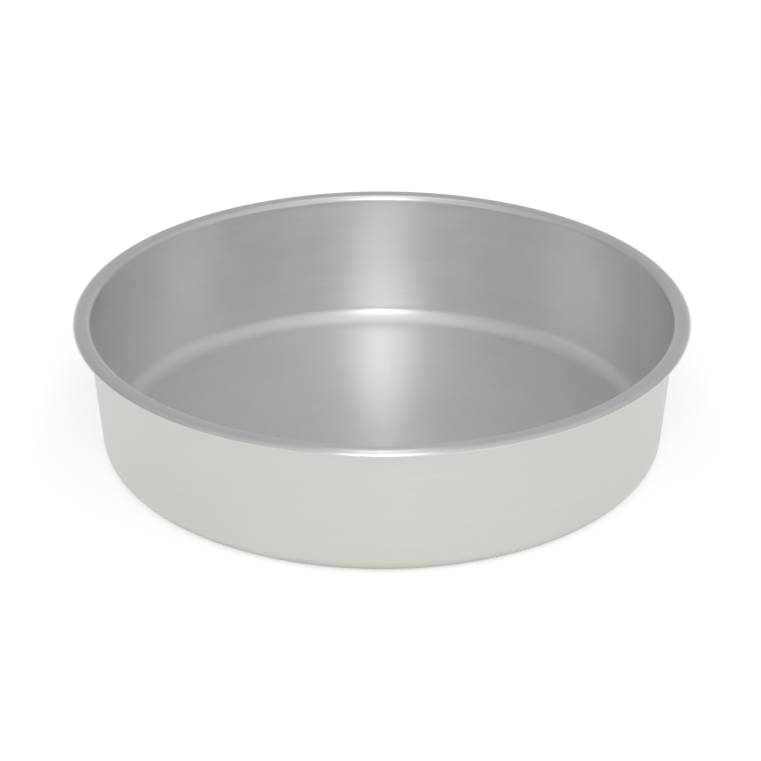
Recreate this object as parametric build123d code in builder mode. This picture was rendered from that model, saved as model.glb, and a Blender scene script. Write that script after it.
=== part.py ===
"""Round cake tin: one seamless pan, drawn and spun from aluminium sheet."""

from build123d import *

import os
from math import cos, radians, sin, tan

# Driving dimensions, in millimetres and degrees. The origin is the middle of
# the base, on the surface that the tin stands on, and +Z points up.
mouth_diameter = 203.2  # inside, where the wall runs into the lip
overall_height = 50.8  # from the surface below the base to the top of the lip
sheet = 1.2  # thickness of the metal, the same all over
wall_draft = 5.0  # how far the wall leans outwards from vertical
base_corner_radius = 6.0  # inside the tin, between the floor and the wall
lip_radius = 2.4  # of the lip's upper surface, at both of its bends
lip_flat = 1.75  # width of the level stretch between the two bends
lip_drop_angle = 80.0  # how far the outer bend turns the lip down
edge_round = 0.4  # on both corners of the trimmed edge

# The lip is bent outwards from the wall, runs level and is bent down again.
# Both bends are about centres at the same height.
draft = radians(wall_draft)
lip_underside_radius = lip_radius - sheet
bend_centre_x = mouth_diameter / 2 + lip_radius * cos(draft)
bend_centre_z = overall_height - lip_radius

# The outside of the wall runs from the lip's underside straight down to the base.
wall_top_x = bend_centre_x - lip_underside_radius * cos(draft)
wall_top_z = bend_centre_z + lip_underside_radius * sin(draft)
base_radius = wall_top_x - wall_top_z * tan(draft)

os.makedirs("parts", exist_ok=True)

# Pan: the section of the sheet, turned about the tin's upright axis
with BuildPart() as pan:
    with BuildSketch(Plane.XZ) as sheet_section:
        with BuildLine() as outside:
            base_and_wall = FilletPolyline(
                (0, 0),
                (base_radius, 0),
                (wall_top_x, wall_top_z),
                radius=base_corner_radius + sheet,
            )
            bend_out = JernArc(
                start=base_and_wall @ 1,
                tangent=base_and_wall % 1,
                radius=lip_underside_radius,
                arc_size=wall_draft - 90,
            )
            lip_underside = PolarLine(
                start=bend_out @ 1,
                length=lip_flat,
                direction=bend_out % 1,
            )
            JernArc(
                start=lip_underside @ 1,
                tangent=lip_underside % 1,
                radius=lip_underside_radius,
                arc_size=-lip_drop_angle,
            )
            offset(amount=sheet, side=Side.LEFT)
        make_face()
        trimmed_edge = sheet_section.vertices().sort_by(Axis.X)[-2:]
        fillet(trimmed_edge, radius=edge_round)
    revolve(axis=Axis.Z)
pan.part.label = "pan"
export_step(pan.part, "parts/pan.step")
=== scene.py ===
"""Looks of a round cake tin: one seamless pan of spun satin aluminium on a white table."""

from itertools import accumulate
from math import asin, ceil, cos, hypot, pi, radians, sin, tan

import bpy
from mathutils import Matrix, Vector, noise


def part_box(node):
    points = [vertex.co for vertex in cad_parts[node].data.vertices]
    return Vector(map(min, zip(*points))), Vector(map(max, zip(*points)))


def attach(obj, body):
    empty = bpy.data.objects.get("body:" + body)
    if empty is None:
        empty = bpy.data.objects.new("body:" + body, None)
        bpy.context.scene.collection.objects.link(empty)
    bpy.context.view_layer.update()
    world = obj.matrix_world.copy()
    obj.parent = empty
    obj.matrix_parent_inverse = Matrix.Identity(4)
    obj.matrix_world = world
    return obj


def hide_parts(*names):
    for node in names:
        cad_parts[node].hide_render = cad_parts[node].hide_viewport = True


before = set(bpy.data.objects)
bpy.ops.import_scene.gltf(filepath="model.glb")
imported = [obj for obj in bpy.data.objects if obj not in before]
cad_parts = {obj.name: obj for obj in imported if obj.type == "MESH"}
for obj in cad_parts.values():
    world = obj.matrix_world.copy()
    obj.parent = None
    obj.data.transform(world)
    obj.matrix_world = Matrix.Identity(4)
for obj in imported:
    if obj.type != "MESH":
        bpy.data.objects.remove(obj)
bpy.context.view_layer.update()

# Sizes of the tin, in metres and radians. The height comes from the frame, and
# the rest repeats what the tin was built with. The lip's flat is a hair
# narrower than the tin's own, so that the lip stays inside the frame's box.
MM = 0.001
OVERALL_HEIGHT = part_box("pan")[1].z
MOUTH_RADIUS = 101.6 * MM
SHEET = 1.2 * MM
WALL_DRAFT = radians(5)
BASE_CORNER_RADIUS = 6.0 * MM
LIP_RADIUS = 2.4 * MM
LIP_FLAT = 1.748 * MM
LIP_DROP = radians(80)
EDGE_ROUND = 0.4 * MM

# How finely the tin is cut: pieces of a full turn, the largest steps along
# arcs and straight runs, a last short step at both ends of a run, and the
# shortest run that counts
SEGMENTS = 288
ARC_STEP = radians(5)
RUN_STEP = 3 * MM
END_STEP = 0.25 * MM
SHORTEST = 0.001 * MM

# Unevenness of the sheet: its depth on the wall, which the floor can reach twice
# over, the width of its waves, the heights on the wall between which it shows,
# and how far it goes over the floor
WAVE_DEPTH = 0.10 * MM
WAVE_WIDTH = 24 * MM
WAVY_WALL = (9 * MM, 45 * MM)
WAVY_FLOOR = 86 * MM

# Metal: its colour on the two faces of the sheet, which holds painted light: the
# inner face is made lighter and the outer face darker than the bare metal, to stand
# in for how light falls in and around the tin. Then its roughness, how much smoother
# the lip is and between which heights that sets in, how far highlights are drawn
# out, and the quarter turn that draws them across the rings
# Painted light and shade: the inner tint is lighter and the outer tint darker than the metal
# itself
INSIDE_TINT_AND_LIGHT = (0.785, 0.789, 0.792)
OUTSIDE_TINT_AND_SHADE = (0.630, 0.629, 0.597)
ROUGHNESS = 0.39
LIP_BURNISH = 0.06
BURNISH_START = OVERALL_HEIGHT - 1.6 * LIP_RADIUS
BURNISH_FULL = OVERALL_HEIGHT - LIP_RADIUS
ANISOTROPY = 0.5
ACROSS_RINGS = 0.25

# Marks on the metal. Rings: changes round the tin, changes per metre across
# the rings, detail. Spots: changes per metre, detail.
FINE_RINGS = (2.5, 620, 3)
BROAD_RINGS = (1.1, 150, 2)
BLOTCHES = (24, 3)
SMUDGES = (90, 2)

# Weights of fine rings, broad rings, blotches and smudges, in this order
COLOUR_WEIGHTS = (0.07, 0.03, 0.09, 0.05)
ROUGHNESS_WEIGHTS = (0.12, 0.04, 0.09, 0.06)
BUMP_WEIGHTS = (1.0, 1.5)
BUMP_STRENGTH = 0.35
BUMP_DEPTH = 0.03 * MM

# Table: its colour, and how much it is lifted towards white where it is seen.
# Mirrored in the metal, the lift fades out under the foot, between two
# distances from the axis. It lies a little below the tin's base.
TABLE_TINT = (0.80, 0.80, 0.80)
TABLE_ROUGHNESS = 0.9
TABLE_LIFT = 0.54
LIFT_EDGE = (91 * MM, 100 * MM)
TABLE_REACH = 6.0
TABLE_DROP = 0.2 * MM

# Studio: its levels from the camera's side (0) round to the back (1), near the
# horizon and above it, as shares of the full level. The high levels take over
# between two heights, which go from 0 at the horizon to 1 straight overhead.
STUDIO_TINT = (1.0, 1.0, 1.0)
STUDIO_LEVEL = 1.22
STUDIO_LOW = ((0.0, 0.35), (0.07, 0.72), (0.25, 0.50), (0.5, 0.30), (0.8, 0.31), (1.0, 0.50))
STUDIO_HIGH = ((0.0, 0.55), (0.25, 0.48), (0.5, 0.46), (1.0, 0.37))
STUDIO_CHANGE = (0.15, 0.50)
STUDIO_SIDE = 0.10  # how much brighter the right side is, and dimmer the left

# Lamps, which face the middle of the base: name, place, width, depth, watts
LAMPS = (
    ("strip_back", (0, 0.09, 0.34), 0.08, 0.09, 0.024),
    ("strip_front", (0, -0.09, 0.34), 0.06, 0.09, 0.036),
    ("front", (0, -0.65, 0.47), 0.20, 0.12, 0.78),
)

# Camera, read off the photograph
PHOTO_SIDE_PX = 761
CAMERA_ELEVATION = radians(26.43)
CAMERA_DISTANCE = 1.017
CAMERA_AIM = Vector((-0.0005, 0, 0.0226))
FOCAL_PX = 2867
SENSOR_MM = 36


def polar(centre, radius, angle):
    """The point at an angle and a distance from a centre."""
    return centre[0] + radius * cos(angle), centre[1] + radius * sin(angle)


def arc(centre, radius, start, end):
    """Points of an arc in the section, from one angle to another, counted from +X."""
    steps = max(2, ceil(abs(end - start) / ARC_STEP))
    angles = [start + (end - start) * i / steps for i in range(steps + 1)]
    return [polar(centre, radius, angle) for angle in angles]


def between(start, end, share):
    """The point at a share of the way from one point to another."""
    return start[0] + (end[0] - start[0]) * share, start[1] + (end[1] - start[1]) * share


def filled(outline):
    """The outline with its long straight runs cut up, closest near their two ends."""
    points = [outline[0]]
    for start, end in zip(outline, outline[1:]):
        length = hypot(end[0] - start[0], end[1] - start[1])
        if length < SHORTEST:
            continue
        if length > RUN_STEP:
            steps = ceil(length / RUN_STEP)
            even_shares = [i / steps for i in range(1, steps)]
            shares = [END_STEP / length, *even_shares, 1 - END_STEP / length]
            points += [between(start, end, share) for share in shares]
        points.append(end)
    return points


def sheet_section():
    """The closed outline of the sheet, from under the middle, round the lip's edge and back."""
    underside_radius = LIP_RADIUS - SHEET
    wall_side = pi - WALL_DRAFT
    drop_side = pi / 2 - LIP_DROP
    bend_out = (MOUTH_RADIUS + LIP_RADIUS * cos(WALL_DRAFT), OVERALL_HEIGHT - LIP_RADIUS)
    bend_down = (bend_out[0] + LIP_FLAT, bend_out[1])
    wall_top = polar(bend_out, underside_radius, wall_side)

    outer_corner_radius = BASE_CORNER_RADIUS + SHEET
    base_radius = wall_top[0] - wall_top[1] * tan(WALL_DRAFT)
    corner_x = base_radius + outer_corner_radius * (tan(WALL_DRAFT) - 1 / cos(WALL_DRAFT))
    corner_centre = (corner_x, outer_corner_radius)

    # The two roundings of the trimmed edge touch the lip's faces and its end
    upper_end = drop_side + asin(EDGE_ROUND / (LIP_RADIUS - EDGE_ROUND))
    lower_end = drop_side + asin(EDGE_ROUND / (underside_radius + EDGE_ROUND))
    upper_round = polar(bend_down, LIP_RADIUS - EDGE_ROUND, upper_end)
    lower_round = polar(bend_down, underside_radius + EDGE_ROUND, lower_end)

    outline = [(0, 0)]
    outline += arc(corner_centre, outer_corner_radius, -pi / 2, -WALL_DRAFT)
    outline += arc(bend_out, underside_radius, wall_side, pi / 2)
    outline += arc(bend_down, underside_radius, pi / 2, lower_end)
    outline += arc(lower_round, EDGE_ROUND, lower_end - pi, drop_side - pi / 2)
    outline += arc(upper_round, EDGE_ROUND, drop_side - pi / 2, upper_end)
    outline += arc(bend_down, LIP_RADIUS, upper_end, pi / 2)
    outline += arc(bend_out, LIP_RADIUS, pi / 2, wall_side)
    outline += arc(corner_centre, BASE_CORNER_RADIUS, -WALL_DRAFT, -pi / 2)
    outline += [(0, SHEET)]
    return outline


def hump(value, low, high):
    """Rises smoothly from zero at one limit and falls back to zero at the other."""
    if not low < value < high:
        return 0
    return sin(pi * (value - low) / (high - low)) ** 2


def uneven(x, y, z):
    """A point of the sheet, moved a little where the wall or the floor isn't quite even."""
    reach = hypot(x, y)
    on_wall = hump(z, *WAVY_WALL)
    if on_wall:
        shift = WAVE_DEPTH * on_wall * noise.noise(Vector((x, y, z)) / WAVE_WIDTH)
        return x * (1 + shift / reach), y * (1 + shift / reach), z
    on_floor = hump(reach, -WAVY_FLOOR, WAVY_FLOOR)
    rise = WAVE_DEPTH * on_floor * (1 + noise.noise(Vector((x, y, 0)) / WAVE_WIDTH))
    return x, y, z + (rise if z < 2 * SHEET else 0)


def lathe(name, outline):
    """Turns an outline that starts and ends on the axis into a closed mesh.

    Each point keeps two values for the metal: its place along the outline,
    and one for the outer face of the sheet or zero for the inner.
    """
    pairs = zip(outline, outline[1:])
    steps = [hypot(end[0] - start[0], end[1] - start[1]) for start, end in pairs]
    places = [0, *accumulate(steps)]
    outermost = outline.index(max(outline))
    rings = list(zip(outline, places))[1:-1]

    verts = [uneven(0, 0, outline[0][1]), uneven(0, 0, outline[-1][1])]
    along = [places[0], places[-1]]
    outside = [1, 0]
    for number, ((x, z), place) in enumerate(rings, 1):
        for i in range(SEGMENTS):
            angle = 2 * pi * i / SEGMENTS
            verts.append(uneven(x * cos(angle), x * sin(angle), z))
        along += [place] * SEGMENTS
        outside += [number < outermost] * SEGMENTS

    faces = []
    for i in range(SEGMENTS):
        j = (i + 1) % SEGMENTS
        faces.append((0, 2 + j, 2 + i))
        for ring in range(len(rings) - 1):
            low = 2 + ring * SEGMENTS
            high = low + SEGMENTS
            faces.append((low + i, low + j, high + j, high + i))
        last = 2 + (len(rings) - 1) * SEGMENTS
        faces.append((1, last + i, last + j))

    mesh = bpy.data.meshes.new(name)
    mesh.from_pydata(verts, [], faces)
    mesh.attributes.new("along", "FLOAT", "POINT").data.foreach_set("value", along)
    mesh.attributes.new("outside", "FLOAT", "POINT").data.foreach_set("value", outside)
    mesh.validate()
    mesh.shade_smooth()
    piece = bpy.data.objects.new(name, mesh)
    bpy.context.scene.collection.objects.link(piece)
    return piece


def new_material(name):
    """A new material, with its node tree and its shader."""
    material = bpy.data.materials.new(name)
    material.use_nodes = True
    tree = material.node_tree
    return material, tree, tree.nodes["Principled BSDF"]


def feed(tree, value, socket):
    """Links another node's output to a socket, or sets the socket to a plain value."""
    if isinstance(value, bpy.types.NodeSocket):
        tree.links.new(value, socket)
    else:
        socket.default_value = value


def maths(tree, operation, *values):
    """The output of a sum on values that are outputs or plain numbers."""
    node = tree.nodes.new("ShaderNodeMath")
    node.operation = operation
    for value, socket in zip(values, node.inputs):
        feed(tree, value, socket)
    return node.outputs[0]


def map_range(tree, value, low, high, interpolation="LINEAR"):
    """Goes from 0 at one value to 1 at another, and stays there outside them."""
    node = tree.nodes.new("ShaderNodeMapRange")
    node.interpolation_type = interpolation
    node.inputs["From Min"].default_value = low
    node.inputs["From Max"].default_value = high
    tree.links.new(value, node.inputs["Value"])
    return node.outputs["Result"]


def attribute(tree, name):
    """The output of a value that the mesh keeps at each point."""
    node = tree.nodes.new("ShaderNodeAttribute")
    node.attribute_name = name
    return node.outputs["Fac"]


def mottle(tree, vector, scale, detail):
    """Noise about zero, mostly within 0.2 either way."""
    node = tree.nodes.new("ShaderNodeTexNoise")
    node.inputs["Scale"].default_value = scale
    node.inputs["Detail"].default_value = detail
    tree.links.new(vector, node.inputs["Vector"])
    return maths(tree, "SUBTRACT", node.outputs[0], 0.5)


def weighed(tree, base, outputs, weights):
    """A base value plus each output times its weight."""
    total = base
    for output, weight in zip(outputs, weights):
        total = maths(tree, "MULTIPLY_ADD", output, weight, total)
    return total


def ring_noise(tree, coords, turn, across, detail):
    """Noise drawn out into rings about the tin's axis."""
    flat = tree.nodes.new("ShaderNodeVectorMath")
    flat.operation = "MULTIPLY"
    flat.inputs[1].default_value = (1, 1, 0)
    tree.links.new(coords, flat.inputs[0])
    unit = tree.nodes.new("ShaderNodeVectorMath")
    unit.operation = "NORMALIZE"
    tree.links.new(flat.outputs[0], unit.inputs[0])
    split = tree.nodes.new("ShaderNodeSeparateXYZ")
    tree.links.new(unit.outputs[0], split.inputs[0])
    joined = tree.nodes.new("ShaderNodeCombineXYZ")
    feed(tree, maths(tree, "MULTIPLY", split.outputs[0], turn), joined.inputs[0])
    feed(tree, maths(tree, "MULTIPLY", split.outputs[1], turn), joined.inputs[1])
    along = attribute(tree, "along")
    feed(tree, maths(tree, "MULTIPLY", along, across), joined.inputs[2])
    return mottle(tree, joined.outputs[0], 1, detail)


def metal_colour_and_light(tree, shade):
    """The tint of the sheet's face, with painted light in it (the inner face lighter and the
    outer face darker than the bare metal), made lighter or darker by the marks on it.
    """
    # Painted light and shade: the inner face's tint is lighter and the outer face's darker,
    # standing in for how light falls
    tint_and_light = tree.nodes.new("ShaderNodeMix")
    tint_and_light.data_type = "RGBA"
    tint_and_light.inputs["A"].default_value = (*INSIDE_TINT_AND_LIGHT, 1)
    tint_and_light.inputs["B"].default_value = (*OUTSIDE_TINT_AND_SHADE, 1)
    feed(tree, attribute(tree, "outside"), tint_and_light.inputs["Factor"])
    colour = tree.nodes.new("ShaderNodeVectorMath")
    colour.operation = "SCALE"
    tree.links.new(tint_and_light.outputs["Result"], colour.inputs[0])
    feed(tree, shade, colour.inputs["Scale"])
    return colour.outputs[0]


def relief(tree, height):
    """Bump of the rings that spinning leaves."""
    bump = tree.nodes.new("ShaderNodeBump")
    bump.inputs["Strength"].default_value = BUMP_STRENGTH
    bump.inputs["Distance"].default_value = BUMP_DEPTH
    feed(tree, height, bump.inputs["Height"])
    return bump.outputs[0]


def ring_tangent(tree):
    """The direction of the rings at each point."""
    tangent = tree.nodes.new("ShaderNodeTangent")
    tangent.direction_type = "RADIAL"
    tangent.axis = "Z"
    return tangent.outputs["Tangent"]


def spun_aluminium(name):
    """Satin aluminium: fine rings left by spinning, faint blotches, a burnished lip."""
    material, tree, shader = new_material(name)
    coords = tree.nodes.new("ShaderNodeTexCoord").outputs["Object"]
    fine = ring_noise(tree, coords, *FINE_RINGS)
    broad = ring_noise(tree, coords, *BROAD_RINGS)
    marks = (fine, broad, mottle(tree, coords, *BLOTCHES), mottle(tree, coords, *SMUDGES))

    split = tree.nodes.new("ShaderNodeSeparateXYZ")
    tree.links.new(coords, split.inputs[0])
    on_lip = map_range(tree, split.outputs["Z"], BURNISH_START, BURNISH_FULL)
    rough = weighed(tree, ROUGHNESS, marks, ROUGHNESS_WEIGHTS)
    rough = weighed(tree, rough, (on_lip,), (-LIP_BURNISH,))

    shade = weighed(tree, 1.0, marks, COLOUR_WEIGHTS)
    height = weighed(tree, 0.0, (fine, broad), BUMP_WEIGHTS)
    feed(tree, metal_colour_and_light(tree, shade), shader.inputs["Base Color"])
    feed(tree, rough, shader.inputs["Roughness"])
    feed(tree, relief(tree, height), shader.inputs["Normal"])
    feed(tree, ring_tangent(tree), shader.inputs["Tangent"])
    shader.inputs["Metallic"].default_value = 1
    shader.inputs["Anisotropic"].default_value = ANISOTROPY
    shader.inputs["Anisotropic Rotation"].default_value = ACROSS_RINGS
    return material


def white_table():
    """White table: plain diffuse, lifted to white where it is seen or mirrored."""
    material, tree, shader = new_material("table_white")
    shader.inputs["Base Color"].default_value = (*TABLE_TINT, 1)
    shader.inputs["Roughness"].default_value = TABLE_ROUGHNESS
    shader.inputs["Specular IOR Level"].default_value = 0
    shader.inputs["Emission Color"].default_value = (1, 1, 1, 1)

    path = tree.nodes.new("ShaderNodeLightPath").outputs
    mirrored = maths(tree, "MAXIMUM", path["Is Glossy Ray"], path["Is Transmission Ray"])
    reach = tree.nodes.new("ShaderNodeVectorMath")
    reach.operation = "LENGTH"
    tree.links.new(tree.nodes.new("ShaderNodeTexCoord").outputs["Object"], reach.inputs[0])
    clear = map_range(tree, reach.outputs["Value"], *LIFT_EDGE)
    mirrored = maths(tree, "MULTIPLY", mirrored, clear)
    seen = maths(tree, "MAXIMUM", path["Is Camera Ray"], mirrored)
    feed(tree, maths(tree, "MULTIPLY", seen, TABLE_LIFT), shader.inputs["Emission Strength"])
    return material


def add_table():
    """The square top on which the tin stands."""
    low, high = -TABLE_REACH, TABLE_REACH
    corners = [(low, low, 0), (high, low, 0), (high, high, 0), (low, high, 0)]
    mesh = bpy.data.meshes.new("table")
    mesh.from_pydata(corners, [], [(0, 1, 2, 3)])
    table = bpy.data.objects.new("table", mesh)
    table.location.z = -TABLE_DROP
    bpy.context.scene.collection.objects.link(table)
    mesh.materials.append(white_table())


def ramp(tree, value, stops):
    """Grey levels between stops, each a place from 0 to 1 and a level from 0 to 1."""
    node = tree.nodes.new("ShaderNodeValToRGB")
    marks = node.color_ramp.elements
    while len(marks) < len(stops):
        marks.new(0.5)
    for mark, (place, level) in zip(marks, stops):
        mark.position = place
        mark.color = (level, level, level, 1)
    feed(tree, value, node.inputs[0])
    return node.outputs[0]


def add_world():
    """Soft studio: brightest on the camera's side, dimmest low at the two sides."""
    world = bpy.data.worlds.new("studio")
    bpy.context.scene.world = world
    world.use_nodes = True
    tree = world.node_tree
    split = tree.nodes.new("ShaderNodeSeparateXYZ")
    tree.links.new(tree.nodes.new("ShaderNodeTexCoord").outputs["Generated"], split.inputs[0])
    right, back, up = split.outputs

    # How far a direction is turned, from 0 on the camera's side to 1 at the back
    squared = maths(tree, "SUBTRACT", 1.0, maths(tree, "MULTIPLY", up, up))
    towards_back = maths(tree, "DIVIDE", back, maths(tree, "SQRT", squared))
    turn = maths(tree, "MULTIPLY_ADD", towards_back, 0.5, 0.5)

    level = tree.nodes.new("ShaderNodeMix")
    feed(tree, map_range(tree, up, *STUDIO_CHANGE, "SMOOTHSTEP"), level.inputs["Factor"])
    feed(tree, ramp(tree, turn, STUDIO_LOW), level.inputs["A"])
    feed(tree, ramp(tree, turn, STUDIO_HIGH), level.inputs["B"])
    side = maths(tree, "MULTIPLY_ADD", right, STUDIO_SIDE, 1.0)
    strength = maths(tree, "MULTIPLY", level.outputs["Result"], side)
    background = tree.nodes["Background"]
    background.inputs["Color"].default_value = (*STUDIO_TINT, 1)
    feed(tree, maths(tree, "MULTIPLY", strength, STUDIO_LEVEL), background.inputs["Strength"])


def add_lamp(name, place, width, depth, power):
    """A soft rectangular lamp that faces the middle of the tin's base."""
    data = bpy.data.lights.new(name, "AREA")
    data.shape = "RECTANGLE"
    data.size = width
    data.size_y = depth
    data.energy = power
    lamp = bpy.data.objects.new(name, data)
    lamp.location = place
    lamp.rotation_euler = (-Vector(place)).to_track_quat("-Z", "Y").to_euler()
    bpy.context.scene.collection.objects.link(lamp)


def add_camera():
    """The camera, where the photograph was taken from."""
    data = bpy.data.cameras.new("camera")
    data.sensor_width = SENSOR_MM
    data.lens = FOCAL_PX * SENSOR_MM / PHOTO_SIDE_PX
    camera = bpy.data.objects.new("camera", data)
    back = Vector((0, -cos(CAMERA_ELEVATION), sin(CAMERA_ELEVATION)))
    camera.location = CAMERA_AIM + back * CAMERA_DISTANCE
    camera.rotation_euler = (-back).to_track_quat("-Z", "Y").to_euler()
    bpy.context.scene.collection.objects.link(camera)
    bpy.context.scene.camera = camera


pan = lathe("pan_sheet", filled(sheet_section()))
pan.data.materials.append(spun_aluminium("satin_aluminium"))
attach(pan, "root")
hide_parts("pan")

add_table()
add_world()
for lamp in LAMPS:
    add_lamp(*lamp)
add_camera()

bpy.context.scene.view_settings.view_transform = "Standard"
